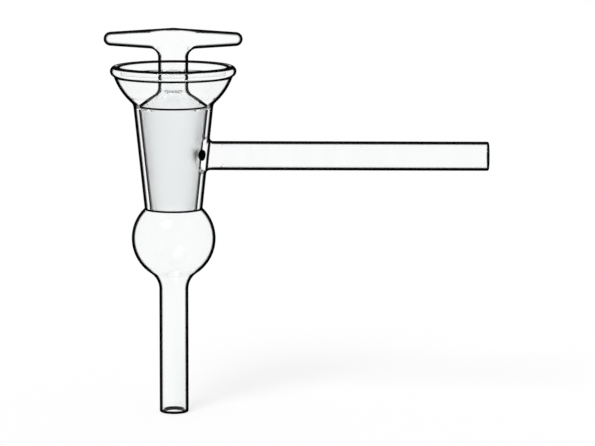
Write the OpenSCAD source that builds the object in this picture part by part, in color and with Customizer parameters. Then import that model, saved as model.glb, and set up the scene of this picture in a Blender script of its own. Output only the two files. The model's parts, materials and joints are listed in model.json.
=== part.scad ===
// Right-angle glass stopcock with a hollow ground plug.
//
// Two pieces of borosilicate glass. The barrel is one fused piece: a lower tube, a bulb, a
// tapered ground seat, an open cup with a beaded rim and a side arm. The plug is one blown
// piece: a hollow ground cone with a port in its wall, a shoulder, a neck and a T handle.
// All sizes are in millimetres. Z runs up the barrel's axis from the open end of the lower
// tube, and the side arm points along +X.

/* [Tubes] */
// Outer diameter of the side arm and of the lower tube
tube_d = 10; // [8:0.5:12]
// Wall of both tubes and of the bulb blown from the lower one
tube_wall = 1.3; // [1:0.1:1.8]
// Reach of the side arm, from the barrel's axis to its open end
arm_reach = 108; // [60:1:160]
// Straight length of the lower tube, from its open end to the bulb's neck
lower_tube_length = 43.1; // [15:0.1:80]
// Rounding of the fire-polished edges at the tubes' open ends
polish_r = 0.45; // [0.2:0.05:0.45]
// Radius of the fused fillet round the root of the side arm
arm_fillet = 1.2; // [0.6:0.1:1.6]

/* [Bulb] */
// Outer diameter of the bulb
bulb_d = 28.8; // [25:0.1:36]
// Radius of the neck between the bulb and the lower tube
neck_fillet = 6.9; // [3:0.1:9]

/* [Ground joint] */
// Diameter of the plug at the small end of its ground cone
ground_small_d = 15.6; // [14:0.1:18]
// Length of the ground cone
ground_length = 35.6; // [30:0.1:44]
// Diameter that the ground cone gains for each millimetre of its length
ground_taper = 0.212; // [0.1:0.002:0.24]
// Radial gap between plug and seat, which the grease film fills
ground_gap = 0.04; // [0.02:0.01:0.08]
// Wall of the barrel round the seat
barrel_wall = 2.1; // [1.6:0.1:3]
// Diameter of the port through the plug's wall and the barrel's wall
port_d = 4; // [2:0.1:5]
// Height of the port and the side arm above the small end of the seat
port_height = 18.2; // [12:0.1:24]

/* [Cup] */
// Outer diameter of the beaded rim
cup_d = 43.2; // [40:0.1:46]
// Thickness of the bead that ends the cup
bead_d = 3.7; // [3:0.1:4.4]
// Height of the rim above the large end of the plug's ground cone
cup_height = 11.6; // [9:0.1:13]
// How far the bead stands out beyond the cup's outside
bead_overhang = 0.7; // [0.3:0.1:1]
// Height above the rim of the centre of the sphere that the cup is part of
bowl_rise = 5.4; // [4:0.1:7]
// Wall of the cup
cup_wall = 1.5; // [1:0.1:2]
// Radius of the outer fillet between the seat and the cup
cup_fillet = 2.6; // [1:0.1:4]

/* [Plug] */
// Wall of the plug round its cavity
plug_wall = 2.2; // [1.4:0.1:3]
// Outer diameter of the plug's neck
stem_d = 10.3; // [8:0.1:12]
// Slope of the shoulder between the ground cone and the neck, in degrees
shoulder_slope = 34.7; // [20:0.1:45]
// Radius where the shoulder turns up into the neck
shoulder_fillet = 3; // [1.5:0.1:4]

/* [Handle] */
// Tip-to-tip length of the T handle
handle_span = 47.4; // [36:0.1:60]
// Diameter of the handle's bar at its middle
handle_root_d = 7.6; // [6:0.1:9]
// Diameter of the handle's bar at its rounded tips
handle_tip_d = 4.8; // [3:0.1:6]
// Height of the bar's axis above the large end of the plug's ground cone
handle_height = 22.6; // [20:0.1:30]
// Radius of the crotch between the bar and the neck
crotch_fillet = 2.8; // [2:0.1:4]

/* [Hidden] */
$fn = 96;

ring_sides = 48;       // sections round the arm's root
curve_steps = 6;       // steps along the curve of each of those sections
weld = 0.03;           // how far one form sinks into the glass it grows from
overlap = 2;           // how far joined sections run into each other
drill_clearance = 1;   // how far a cutting solid runs past the glass
plug_edge = 0.5;       // rounding of the plug's open lower edge
knuckle_drop = 0.15;   // the knuckle's top below the bar's, so that the bar keeps its line
cavity_margin = 1.6;   // glass left between the plug's cavity and the handle's crotch
corner_depth = 1.6;    // share of a fillet's radius that its section reaches from its centre

tube_r = tube_d / 2;
bore_r = tube_r - tube_wall;
bulb_r = bulb_d / 2;
stem_r = stem_d / 2;
lean = ground_taper / 2;                      // radius gained per millimetre of height
seat_r = ground_small_d / 2 + ground_gap;     // bore of the seat at its small end
foot_r = seat_r + barrel_wall;                // outside of the barrel at the seat's small end

neck_rise = sqrt(pow(bulb_r + neck_fillet, 2) - pow(tube_r + neck_fillet, 2));
bulb_z = lower_tube_length + neck_rise;
seat_z = bulb_z + sqrt(pow(bulb_r, 2) - pow(foot_r, 2));
port_z = seat_z + port_height;
plug_top_z = seat_z + ground_length;
rim_z = plug_top_z + cup_height;
bowl_z = rim_z + bowl_rise;
bowl_r = norm([cup_d / 2 - bead_overhang, bowl_rise]);
handle_z = plug_top_z + handle_height;

// ---------------------------------------------------------- section helpers

function unit(v) = v / norm(v);

// Half the angle at b between the lines to a and c.
function half_angle(a, b, c) = acos(unit(a - b) * unit(c - b)) / 2;

// Centre of the circle of radius r that touches both lines at the corner b.
function corner_centre(a, b, c, r) =
    b + unit(unit(a - b) + unit(c - b)) * r / sin(half_angle(a, b, c));

// Where that circle touches the line from b to a.
function touch(a, b, c, r) = b + unit(a - b) * r / tan(half_angle(a, b, c));

// Where a line through p with direction d meets a circle about the axis, at its lower crossing.
function low_crossing(p, d, centre_z, r) =
    let (
        q = p - [0, centre_z],
        along = q * unit(d)
    )
    p - unit(d) * (along + sqrt(pow(along, 2) - q * q + r * r));

// Half of a disc whose centre is on the axis, between two heights.
module half_disc(centre_z, r, from_z, to_z) {
    intersection() {
        translate([0, centre_z]) circle(r = r);
        translate([0, from_z]) square([r + overlap, to_z - from_z]);
    }
}

// Fills the hollow corner at b between the lines a-b and b-c with a fillet of radius r.
module fillet(a, b, c, r) {
    centre = corner_centre(a, b, c, r);
    difference() {
        polygon([centre,
                 centre + (touch(a, b, c, r) - centre) * corner_depth,
                 centre + (touch(c, b, a, r) - centre) * corner_depth]);
        translate(centre) circle(r = r);
    }
}

// ------------------------------------------------------------------ barrel

slant = unit([lean, 1]);             // direction of the seat's cone, in section
square_out = [slant.y, -slant.x];    // outward normal of that cone

// Radius of the barrel's outside at height z, along the seat.
function barrel_r(z) = foot_r + lean * (z - seat_z);

// Section of the bulb and of the neck that leads to it, at a given depth inside the glass.
module bulb_section(depth) {
    pivot = [tube_r + neck_fillet, lower_tube_length];
    half_disc(bulb_z, bulb_r - depth, bulb_z - bulb_r, bulb_z + bulb_r);
    difference() {
        polygon([[0, lower_tube_length], pivot, [0, bulb_z]]);
        translate(pivot) circle(r = neck_fillet + depth);
    }
}

// Section of the seat's cone, a given radius wide at its small end, up to height top_z.
module cone_section(r, top_z) {
    polygon([[0, seat_z - overlap], [r - lean * overlap, seat_z - overlap],
             [r + lean * (top_z - seat_z), top_z], [0, top_z]]);
}

// Section of the fused fillet between the seat's outside and the cup.
module cup_fillet_section() {
    centre = low_crossing([foot_r, seat_z] + cup_fillet * square_out, slant, bowl_z,
                          bowl_r + cup_fillet);
    depth = cup_fillet * corner_depth;
    difference() {
        polygon([centre, centre - square_out * depth,
                 centre + unit([0, bowl_z] - centre) * depth]);
        translate(centre) circle(r = cup_fillet);
    }
}

module barrel_outside() {
    mouth = low_crossing([foot_r, seat_z], slant, bowl_z, bowl_r);
    rotate_extrude() {
        translate([0, polish_r]) square([tube_r, lower_tube_length - polish_r]);
        polished_edge();
        bulb_section(0);
        cone_section(foot_r, mouth.y + overlap);
        cup_fillet_section();
        half_disc(bowl_z, bowl_r, bowl_z - bowl_r, rim_z);
        translate([(cup_d - bead_d) / 2, rim_z]) circle(d = bead_d);
    }
}

module barrel_inside() {
    mouth = low_crossing([seat_r, seat_z], slant, bowl_z, bowl_r - cup_wall);
    rotate_extrude() {
        translate([0, -drill_clearance])
            square([bore_r, lower_tube_length + drill_clearance]);
        bulb_section(tube_wall);
        cone_section(seat_r, mouth.y + overlap);
        half_disc(bowl_z, bowl_r - cup_wall, bowl_z - bowl_r + cup_wall, rim_z);
    }
}

// Section of a tube's fire-polished outer edge, where it stands on z = 0.
module polished_edge() {
    translate([tube_r - polish_r, polish_r]) circle(r = polish_r);
    square([tube_r - polish_r, polish_r]);
}

// Opens a tube's bore to the same rounding at z = 0.
module lip_relief() {
    rotate_extrude()
        difference() {
            translate([0, -drill_clearance]) square([bore_r + polish_r, drill_clearance + polish_r]);
            translate([bore_r + polish_r, polish_r]) circle(r = polish_r);
            translate([bore_r + polish_r, -drill_clearance]) square(drill_clearance);
        }
}

// Turns a tube that stands on the Z axis into the side arm, its open end outwards.
module at_arm_end() {
    translate([arm_reach, 0, port_z]) rotate([0, -90, 0]) children();
}

// The side arm as far as its root, with a core that runs on to the barrel's axis.
module arm_outside() {
    at_arm_end() rotate_extrude() {
        translate([0, polish_r]) square([tube_r, arm_reach - arm_start - polish_r]);
        translate([0, polish_r]) square([tube_r - root_bury / 2, arm_reach - polish_r]);
        polished_edge();
    }
}

// The side arm's bore, which ends on the barrel's outside.
module arm_inside() {
    difference() {
        at_arm_end() translate([0, 0, -drill_clearance])
            cylinder(r = bore_r, h = arm_reach + drill_clearance);
        translate([0, 0, seat_z])
            cylinder(r1 = foot_r, r2 = barrel_r(plug_top_z), h = ground_length);
    }
    at_arm_end() lip_relief();
}

module port_drill() {
    translate([0, 0, port_z]) rotate([0, 90, 0])
        cylinder(d = port_d, h = barrel_r(port_z) + drill_clearance);
}

// Distance of the barrel's outside along X, at distance d from the arm's axis towards angle t.
function saddle_x(d, t) =
    sqrt(pow(barrel_r(port_z + d * sin(t)), 2) - pow(d * cos(t), 2));

root_bury = tube_wall / 2;    // depth to which the root's foot is buried in the glass
arm_start = saddle_x(tube_r, 90) + arm_fillet + weld;    // where the arm's plain tube starts

// One section of the arm's root, at angle t round the arm: the tube's outside, the fillet's
// curve, then a foot that is buried in the glass.
function root_section(t) =
    let (
        corner = [saddle_x(tube_r, t), tube_r - weld],
        top = corner + [arm_fillet, 0],
        edge = [saddle_x(tube_r + arm_fillet, t) - weld, tube_r + arm_fillet],
        end = [arm_start + overlap, tube_r - weld],
        curve = [for (k = [0 : curve_steps]) let (s = k / curve_steps)
            (1 - s) * (1 - s) * top + 2 * s * (1 - s) * corner + s * s * edge],
        foot = [edge - [root_bury, 0], corner - [root_bury, root_bury], end - [0, root_bury]]
    )
    [for (p = concat([end], curve, foot)) [p.x, p.y * cos(t), port_z + p.y * sin(t)]];

// The root of the arm, with the fused fillet that follows the saddle where tube meets barrel.
module arm_root() {
    rings = [for (k = [0 : ring_sides - 1]) root_section(360 * k / ring_sides)];
    n = len(rings[0]);
    polyhedron(
        points = [for (ring = rings) each ring],
        faces = [for (i = [0 : ring_sides - 1]) for (j = [0 : n - 1])
            let (a = i * n + j, b = i * n + (j + 1) % n, up = ((i + 1) % ring_sides - i) * n)
            each [[a, b + up, b], [a, a + up, b + up]]]);
}

module barrel() {
    color([0.86, 0.92, 0.93, 0.45])
        difference() {
            union() {
                barrel_outside();
                arm_outside();
                arm_root();
            }
            barrel_inside();
            lip_relief();
            arm_inside();
            port_drill();
        }
}

// -------------------------------------------------------------------- plug

plug_foot_r = ground_small_d / 2;
plug_top_r = plug_foot_r + lean * ground_length;
shoulder_pitch = tan(shoulder_slope);
bar_reach = (handle_span - handle_tip_d) / 2;
bar_root_r = handle_root_d / 2;
bar_tip_r = handle_tip_d / 2;
bar_lean = asin((bar_root_r - bar_tip_r) / bar_reach);
crotch_x = stem_r + crotch_fillet;
elbow_r = (bar_root_r - crotch_x * sin(bar_lean)) / cos(bar_lean);
crotch_z = handle_z - elbow_r - crotch_fillet;

// The plug's outside, a figure of revolution up to the knuckle inside the handle.
module plug_outside() {
    foot = [plug_foot_r, seat_z];
    edge = [plug_top_r, plug_top_z];
    bend = [stem_r, plug_top_z + (plug_top_r - stem_r) * shoulder_pitch];
    knuckle_z = handle_z + bar_root_r - stem_r - knuckle_drop;
    round_centre = corner_centre([0, seat_z], foot, edge, plug_edge);
    rotate_extrude() {
        polygon([[0, seat_z], touch([0, seat_z], foot, edge, plug_edge),
                 touch(edge, foot, [0, seat_z], plug_edge), edge, bend,
                 [stem_r, knuckle_z], [0, knuckle_z]]);
        translate(round_centre) circle(r = plug_edge);
        fillet(edge, bend, bend + [0, 1], shoulder_fillet);
        half_disc(knuckle_z, stem_r, knuckle_z - overlap, knuckle_z + stem_r);
    }
}

// The plug's cavity: open at the small end, and closed by a dome in the neck.
module plug_inside() {
    foot = [plug_foot_r - plug_wall, seat_z];
    neck_r = stem_r - plug_wall;
    drop = plug_wall / cos(shoulder_slope);
    edge_r = (foot.x + lean * (plug_top_z - drop + shoulder_pitch * plug_top_r - seat_z))
        / (1 + lean * shoulder_pitch);
    edge = [edge_r, plug_top_z - drop + shoulder_pitch * (plug_top_r - edge_r)];
    bend = [neck_r, edge.y + shoulder_pitch * (edge_r - neck_r)];
    dome_z = crotch_z - cavity_margin - neck_r;
    rotate_extrude() {
        polygon([[0, seat_z - drill_clearance], foot - [0, drill_clearance], foot,
                 touch(foot, edge, bend, shoulder_fillet), touch(bend, edge, foot, shoulder_fillet),
                 bend, [neck_r, dome_z], [0, dome_z]]);
        translate(corner_centre(foot, edge, bend, shoulder_fillet)) circle(r = shoulder_fillet);
        fillet(edge, bend, bend + [0, 1], shoulder_fillet);
        half_disc(dome_z, neck_r, dome_z - overlap, dome_z + neck_r);
    }
}

// The handle's bar: a rod that thins towards two round tips.
module handle_bar() {
    tip = bar_tip_r * [cos(bar_lean), sin(bar_lean)] + [0, bar_reach];
    translate([0, 0, handle_z]) rotate([0, 90, 0])
        rotate_extrude() {
            polygon([[0, -tip.y], [tip.x, -tip.y], [bar_root_r / cos(bar_lean), 0],
                     tip, [0, tip.y]]);
            for (end = [-bar_reach, bar_reach])
                half_disc(end, bar_tip_r, end - bar_tip_r, end + bar_tip_r);
        }
}

// Glass that turns from the neck into one side of the bar, about the crotch.
module handle_elbow() {
    translate([crotch_x, 0, crotch_z]) rotate([90, 0, 0])
        rotate_extrude(angle = 90 + bar_lean, start = 90 - bar_lean)
            translate([crotch_fillet + elbow_r, 0]) circle(r = elbow_r - weld);
}

module plug() {
    color([0.87, 0.89, 0.90, 0.6])
        difference() {
            union() {
                plug_outside();
                handle_bar();
                handle_elbow();
                mirror([1, 0, 0]) handle_elbow();
            }
            plug_inside();
            port_drill();
        }
}

barrel();
plug();
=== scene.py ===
"""Right-angle glass stopcock with a hollow ground plug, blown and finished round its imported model.

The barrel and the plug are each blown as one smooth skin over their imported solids. Glass is
worked at the bench in millimetres and brought to metres as it is handed over. Z runs up the
barrel's axis from the open end of the lower tube, and the side arm points along +X.
"""

import json
import logging
import math
from collections.abc import Callable, Iterable
from dataclasses import dataclass
from enum import Enum

import bmesh
import bpy
import numpy as np
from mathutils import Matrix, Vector


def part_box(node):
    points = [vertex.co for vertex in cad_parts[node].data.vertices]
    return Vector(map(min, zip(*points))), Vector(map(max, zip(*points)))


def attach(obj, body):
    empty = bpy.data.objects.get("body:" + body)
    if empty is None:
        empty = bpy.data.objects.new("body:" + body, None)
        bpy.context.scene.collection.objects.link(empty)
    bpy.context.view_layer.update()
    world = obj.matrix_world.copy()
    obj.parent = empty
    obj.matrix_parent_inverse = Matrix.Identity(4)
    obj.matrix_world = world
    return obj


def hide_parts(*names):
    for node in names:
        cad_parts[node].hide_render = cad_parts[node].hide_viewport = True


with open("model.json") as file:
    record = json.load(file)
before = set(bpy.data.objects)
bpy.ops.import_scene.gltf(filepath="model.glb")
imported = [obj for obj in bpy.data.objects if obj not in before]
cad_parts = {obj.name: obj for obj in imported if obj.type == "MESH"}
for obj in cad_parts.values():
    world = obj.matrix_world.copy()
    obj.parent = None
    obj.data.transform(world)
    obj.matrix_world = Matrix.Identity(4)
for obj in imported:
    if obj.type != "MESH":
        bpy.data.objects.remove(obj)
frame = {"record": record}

log = logging.getLogger("stopcock")

METRES = 0.001          # one millimetre
TOUCH = 0.01            # how near two places are that count as one, in millimetres
NEAR = 0.05             # how near a wall its own points lie, in millimetres
ROUND = 128             # facets round the barrel and the plug
WINDOW = 14             # facets from the side arm's middle to the edge of its patch
ROW = 1.5               # longest row along a straight wall, in millimetres
FINE_ROW = 0.6          # longest row along a curve, in millimetres
FINE_TURN = math.radians(12)     # largest turn between two rows of a curve
SMOOTH_TURN = math.radians(50)   # largest bend that is shaded smooth
GLASS_IOR = 1.474       # borosilicate glass
FAINT_SHINE = (0.35, 0.35, 0.35, 1)  # tint of the shine on glass, which leaves its dark edges dark
# LINE, LIP_LINE and FINE_LINE are widths of painted shade: black painted at the edges of the glass
# where it would bend light away
LINE = 1.2              # width of the dark edge that clear glass shows, in millimetres
LIP_LINE = 0.95         # width of the dark edge round a tube's open end, in millimetres
FINE_LINE = 0.62        # width of the dark edge of ground glass, in millimetres
SOFTNESS = 0.16         # how softly a dark edge fades, as a share of its width
WHITE = (1, 1, 1, 1)

UP = Vector((0, 0, 1))
ASIDE = Vector((1, 0, 0))

Spot = tuple[float, float]
Cone = Callable[[float], float]
Skin = Callable[[np.ndarray], np.ndarray]
Colour = tuple[float, float, float, float]


# ------------------------------------------------------------------- drawing


def towards(a: Spot, b: Spot, length: float) -> Spot:
    """Gives the spot that lies a length from a on the way to b."""
    gap = math.dist(a, b)
    return a[0] + (b[0] - a[0]) * length / gap, a[1] + (b[1] - a[1]) * length / gap


def crossing(centre: Spot, radius: float, other: Spot, other_radius: float, side: int) -> Spot:
    """Finds where two circles cross.

    Args:
        centre: centre of the first circle.
        radius: radius of the first circle.
        other: centre of the second circle.
        other_radius: radius of the second circle.
        side: 1 for the crossing left of the way from centre to other, -1 for the right one.

    Returns:
        The crossing on that side.
    """
    gap = math.dist(centre, other)
    along = (gap * gap + radius * radius - other_radius * other_radius) / (2 * gap)
    off = side * math.sqrt(radius * radius - along * along)
    ux, uz = (other[0] - centre[0]) / gap, (other[1] - centre[1]) / gap
    return centre[0] + ux * along - uz * off, centre[1] + uz * along + ux * off


def cone_spot(cone: Cone, z: float) -> Spot:
    """Gives the spot at a height on a cone, whose radius is known at each height."""
    return cone(z), z


def cone_meets(cone: Cone, centre: Spot, radius: float, side: int, passes: int = 60) -> Spot:
    """Finds where a cone meets a circle that is centred on the cone's axis.

    Args:
        cone: the cone's radius at a height.
        centre: the circle's centre.
        radius: the circle's radius.
        side: 1 for the upper crossing, -1 for the lower one.
        passes: how often the height is bettered.

    Returns:
        The crossing on that side.
    """
    z = centre[1] + side * radius
    for _ in range(passes):
        z = centre[1] + side * math.sqrt(max(radius * radius - cone(z) ** 2, 0))
    return cone_spot(cone, z)


class Turn(Enum):
    """Which way a curve runs, seen with the axis on the left."""

    LEFT = 1
    RIGHT = -1


class Axis(Enum):
    """An axis of the piece, by its place in a vector."""

    X = 0
    Y = 1
    Z = 2


class Section:
    """A section of glass, drawn in millimetres with one pen on an upright plane."""

    def __init__(self, start: Spot, across: Vector = ASIDE) -> None:
        """Puts the pen down.

        Args:
            start: distance from the axis and height of the first point.
            across: the direction in which distance from the axis is drawn.
        """
        self.across = across
        self.tip = start
        bpy.ops.object.select_all(action="DESELECT")
        bpy.ops.mesh.primitive_plane_add(size=1)
        self.glass = bpy.context.object
        bpy.ops.object.mode_set(mode="EDIT")
        bpy.ops.mesh.select_mode(type="VERT")
        bpy.ops.mesh.select_all(action="SELECT")
        bpy.ops.mesh.merge(type="CENTER")
        bpy.ops.transform.translate(value=self._place(start))

    def _place(self, spot: Spot) -> Vector:
        """Gives the place in space of a spot on the drawing."""
        return self.across * spot[0] + UP * spot[1]

    def line(self, end: Spot, rows: int | None = None) -> None:
        """Draws a straight wall.

        Args:
            end: where it ends.
            rows: rows of glass along it, or none to follow the usual row.
        """
        rows = rows or max(1, math.ceil(math.dist(self.tip, end) / ROW))
        step = (self._place(end) - self._place(self.tip)) / rows
        for _ in range(rows):
            bpy.ops.mesh.extrude_region_move(TRANSFORM_OT_translate={"value": step})
        self.tip = end

    def curve(self, end: Spot, centre: Spot, turn: Turn, rows: int | None = None) -> None:
        """Draws part of a circle.

        Args:
            end: where it ends.
            centre: its centre.
            turn: which way it runs.
            rows: rows of glass along it, or none for the usual fine row.
        """
        first = math.atan2(self.tip[1] - centre[1], self.tip[0] - centre[0])
        last = math.atan2(end[1] - centre[1], end[0] - centre[0])
        angle = (last - first) * turn.value % math.tau
        radius = math.dist(self.tip, centre)
        least = math.ceil(angle / FINE_TURN)
        rows = rows or max(least, math.ceil(angle * radius / FINE_ROW))
        bpy.ops.mesh.spin(
            steps=rows,
            angle=angle * turn.value,
            center=self._place(centre),
            axis=UP.cross(self.across),
        )
        self.tip = end

    def corner(self, corner: Spot, onward: Spot, radius: float) -> None:
        """Draws a straight wall to a corner, and rounds the corner off.

        Args:
            corner: the sharp corner.
            onward: the next corner, which gives the direction after this one.
            radius: radius of the rounding.
        """
        back = (self.tip[0] - corner[0], self.tip[1] - corner[1])
        on = (onward[0] - corner[0], onward[1] - corner[1])
        cross = back[0] * on[1] - back[1] * on[0]
        half = math.atan2(abs(cross), back[0] * on[0] + back[1] * on[1]) / 2
        reach = radius / math.tan(half)
        begin, end = towards(corner, self.tip, reach), towards(corner, onward, reach)
        middle = ((begin[0] + end[0]) / 2, (begin[1] + end[1]) / 2)
        centre = towards(corner, middle, radius / math.sin(half))
        self.line(begin)
        self.curve(end, centre, Turn.RIGHT if cross > 0 else Turn.LEFT)

    def soften(self, spots: Iterable[Spot], width: float) -> None:
        """Rounds sharp bends that are already drawn.

        Args:
            spots: the bends.
            width: how far from each bend the rounding starts.
        """
        places = [self._place(spot) for spot in spots]
        choose(self.glass, "VERT", lambda v: any((v.co - p).length < TOUCH for p in places))
        bpy.ops.mesh.bevel(affect="VERTICES", offset=width, segments=4)

    def revolve(
        self, axis: Vector = UP, centre: Vector = Vector(), steps: int = ROUND
    ) -> bpy.types.Object:
        """Turns the finished section into glass.

        Args:
            axis: the axis that it is turned about.
            centre: a point on that axis.
            steps: facets round the axis.

        Returns:
            The object that was turned.
        """
        bpy.ops.mesh.select_all(action="SELECT")
        bpy.ops.mesh.spin(steps=steps, angle=math.tau, center=centre, axis=axis)
        return self.lift()

    def lift(self) -> bpy.types.Object:
        """Ends the drawing, welds what meets, and gives the object."""
        weld(0.0005)
        return self.glass


# ------------------------------------------------------------------- bench work


def choose(glass: bpy.types.Object, kind: str, test: Callable[..., bool]) -> None:
    """Selects the vertices, edges or faces of glass in edit mode that pass a test.

    Args:
        glass: the object, in edit mode.
        kind: VERT, EDGE or FACE.
        test: says whether one of them is chosen.
    """
    bpy.ops.mesh.select_mode(type=kind)
    bpy.ops.mesh.select_all(action="DESELECT")
    mesh = bmesh.from_edit_mesh(glass.data)
    parts = {"VERT": mesh.verts, "EDGE": mesh.edges, "FACE": mesh.faces}[kind]
    for part in [part for part in parts if test(part)]:
        part.select_set(True)
    bmesh.update_edit_mesh(glass.data)


def weld(reach: float) -> None:
    """Welds the places of the open glass that lie within reach of each other, and closes it."""
    bpy.ops.mesh.select_all(action="SELECT")
    bpy.ops.mesh.remove_doubles(threshold=reach)
    bpy.ops.object.mode_set(mode="OBJECT")


def bridge(glass: bpy.types.Object, cuts: int, test: Callable[[bmesh.types.BMEdge], bool]) -> None:
    """Bridges two open edges of glass in edit mode.

    Args:
        glass: the object, in edit mode.
        cuts: rings of glass between the two.
        test: says whether an edge belongs to one of them.
    """
    choose(glass, "EDGE", test)
    bpy.ops.mesh.bridge_edge_loops(number_cuts=cuts, interpolation="LINEAR")


def fuse(first: bpy.types.Object, *others: bpy.types.Object) -> bpy.types.Object:
    """Joins glass into one object, keeps the first one's name and opens it for editing."""
    bpy.ops.object.select_all(action="DESELECT")
    for glass in (first, *others):
        glass.select_set(True)
    bpy.context.view_layer.objects.active = first
    if others:
        bpy.ops.object.join()
    bpy.ops.object.mode_set(mode="EDIT")
    return first


def turn_out(glass: bpy.types.Object) -> None:
    """Opens closed glass for editing, and turns all its faces outwards."""
    fuse(glass)
    bpy.ops.mesh.select_all(action="SELECT")
    bpy.ops.mesh.normals_make_consistent(inside=False)


def read_rows(items: bpy.types.bpy_prop_collection, name: str) -> np.ndarray:
    """Reads one vector from each item of a mesh, one row each."""
    flat = np.empty(len(items) * 3, np.float32)
    items.foreach_get(name, flat)
    return flat.reshape(-1, 3).astype(float)


def stacked(x: np.ndarray, y: np.ndarray, z: np.ndarray) -> np.ndarray:
    """Puts three columns together, one row for each point."""
    return np.stack([x, y, z], axis=1)


def points_of(glass: bpy.types.Object) -> np.ndarray:
    """Gives the places of all vertices, one row each."""
    return read_rows(glass.data.vertices, "co")


def put_points(glass: bpy.types.Object, places: np.ndarray) -> None:
    """Puts all vertices where places says."""
    glass.data.vertices.foreach_set("co", places.astype(np.float32).ravel())
    glass.data.update()


def settle(places: np.ndarray, skin: Skin, passes: int = 8) -> np.ndarray:
    """Moves points straight onto a skin.

    Args:
        places: the points, one row each.
        skin: gives how far each point stands off the skin.
        passes: how often each point is moved.

    Returns:
        The moved points.
    """
    reach, flattest = 0.002, 0.05
    for _ in range(passes):
        rises = [skin(places + step) - skin(places - step) for step in np.eye(3) * reach]
        slope = stacked(*rises) / (2 * reach)
        steep = np.maximum((slope * slope).sum(axis=1), flattest)
        places = places - slope * (skin(places) / steep)[:, None]
    return places


def melted(one: np.ndarray, other: np.ndarray, radius: np.ndarray | float) -> np.ndarray:
    """Joins two skins with a fillet of a radius, from how far points stand off each of them."""
    near = np.hypot(np.maximum(radius - one, 0), np.maximum(radius - other, 0))
    return np.maximum(radius, np.minimum(one, other)) - near


def normals_of(glass: bpy.types.Object) -> np.ndarray:
    """Turns all faces of closed glass outwards, and gives the normals of its vertices."""
    turn_out(glass)
    bpy.ops.object.mode_set(mode="OBJECT")
    return read_rows(glass.data.vertex_normals, "vector")


def rim_share(radius: np.ndarray | float, width: np.ndarray | float = LINE) -> np.ndarray:
    """Says how squarely a round wall must be seen to look clear, for a dark edge of a width."""
    clear = np.clip(1 - width / np.maximum(radius, width * 1.02), 0, 1)
    return np.sqrt(1 - clear * clear)


def unit(rows: np.ndarray) -> np.ndarray:
    """Brings each row to length one."""
    return rows / np.maximum(np.linalg.norm(rows, axis=1), 1e-6)[:, None]


class Zone(Enum):
    """The finish that each face of a piece takes, in the order of its material slots."""

    CLEAR = 0
    GROUND = 1
    PORT = 2


def dress(
    glass: bpy.types.Object,
    finishes: dict[Zone, bpy.types.Material],
    zone: Callable[[np.ndarray], np.ndarray],
    across: np.ndarray,
    along: np.ndarray,
    run: np.ndarray,
) -> None:
    """Gives glass its finishes, and what they need to know of its shape.

    Args:
        glass: the object, in millimetres.
        finishes: the material of each zone.
        zone: gives the zone's number for the middle of each face.
        across: the rim share of each vertex, for the wall's bend across its run.
        along: the rim share of each vertex, for the wall's bend along its run.
        run: the direction in which the wall runs at each vertex.
    """
    mesh = glass.data
    mesh.materials.clear()
    for finish in finishes.values():
        mesh.materials.append(finish)
    middles = read_rows(mesh.polygons, "center")
    mesh.polygons.foreach_set("material_index", zone(middles).astype(np.int32))
    for name, share in (("rim_across", across), ("rim_along", along)):
        made = mesh.attributes.new(name, "FLOAT", "POINT")
        made.data.foreach_set("value", share.astype(np.float32))
    mesh.attributes.new("run", "FLOAT_VECTOR", "POINT").data.foreach_set(
        "vector", run.astype(np.float32).ravel()
    )


def hand_over(glass: bpy.types.Object, name: str, body: str) -> None:
    """Brings a finished piece to metres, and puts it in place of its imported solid.

    Args:
        glass: the piece, in millimetres.
        name: the name it gets.
        body: the body it rides on, which is also the node it replaces.
    """
    turn_out(glass)
    bpy.ops.transform.resize(value=(METRES,) * 3, center_override=(0, 0, 0))
    bpy.ops.object.mode_set(mode="OBJECT")
    bpy.ops.object.shade_smooth_by_angle(angle=SMOOTH_TURN)
    glass.name = glass.data.name = name
    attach(glass, body)
    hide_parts(body)
    faces = sum(len(face.vertices) - 2 for face in glass.data.polygons)
    log.info("%s: %d triangles", name, faces)


# ------------------------------------------------------------------- sizes


@dataclass(frozen=True)
class Leading:
    """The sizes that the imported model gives, in millimetres."""

    tube_r: float
    arm_reach: float
    port_z: float
    seat_z: float
    cup_r: float
    rim_top: float
    handle_top: float
    handle_reach: float

    @classmethod
    def read(cls) -> "Leading":
        """Reads them from the mounts and from the boxes of the two nodes."""
        mounts = {mount["name"]: mount for mount in frame["record"]["mounts"]}
        arm = mounts["side_arm"]["pos_m"]
        barrel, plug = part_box("barrel"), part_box("plug")
        return cls(
            tube_r=mounts["lower_tube"]["dims"]["r_mm"],
            arm_reach=arm[0] / METRES,
            port_z=arm[2] / METRES,
            seat_z=plug[0].z / METRES,
            cup_r=barrel[1].y / METRES,
            rim_top=barrel[1].z / METRES,
            handle_top=plug[1].z / METRES,
            handle_reach=plug[1].x / METRES,
        )


@dataclass(frozen=True)
class GroundJoint:
    """The tapered joint that plug and seat share, in millimetres."""

    seat_z: float
    port_z: float
    small_r: float = 7.8
    length: float = 35.6
    lean: float = 0.106
    gap: float = 0.04
    barrel_wall: float = 2.1
    port_r: float = 2.0

    @property
    def top_z(self) -> float:
        """Height of the joint's large end."""
        return self.seat_z + self.length

    @property
    def tilt(self) -> float:
        """How much longer the cone's slanting side is than its height."""
        return math.hypot(1, self.lean)

    @property
    def spot(self) -> "Oval":
        """The dark oval of painted shade that stands for the port's hollow, leaning with the cone's
        curve.
        """
        return Oval((self.plug_r(self.port_z) + 0.08, self.port_z), 1.2, 1.87, rise=0.125)

    def plug_r(self, z: float) -> float:
        """Radius of the plug's cone at a height."""
        return self.small_r + self.lean * (z - self.seat_z)

    def bore_r(self, z: float) -> float:
        """Radius of the seat's bore at a height."""
        return self.plug_r(z) + self.gap

    def outside_r(self, z: float) -> float:
        """Radius of the barrel's outside at a height."""
        return self.bore_r(z) + self.barrel_wall


# ------------------------------------------------------------------- barrel


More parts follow.
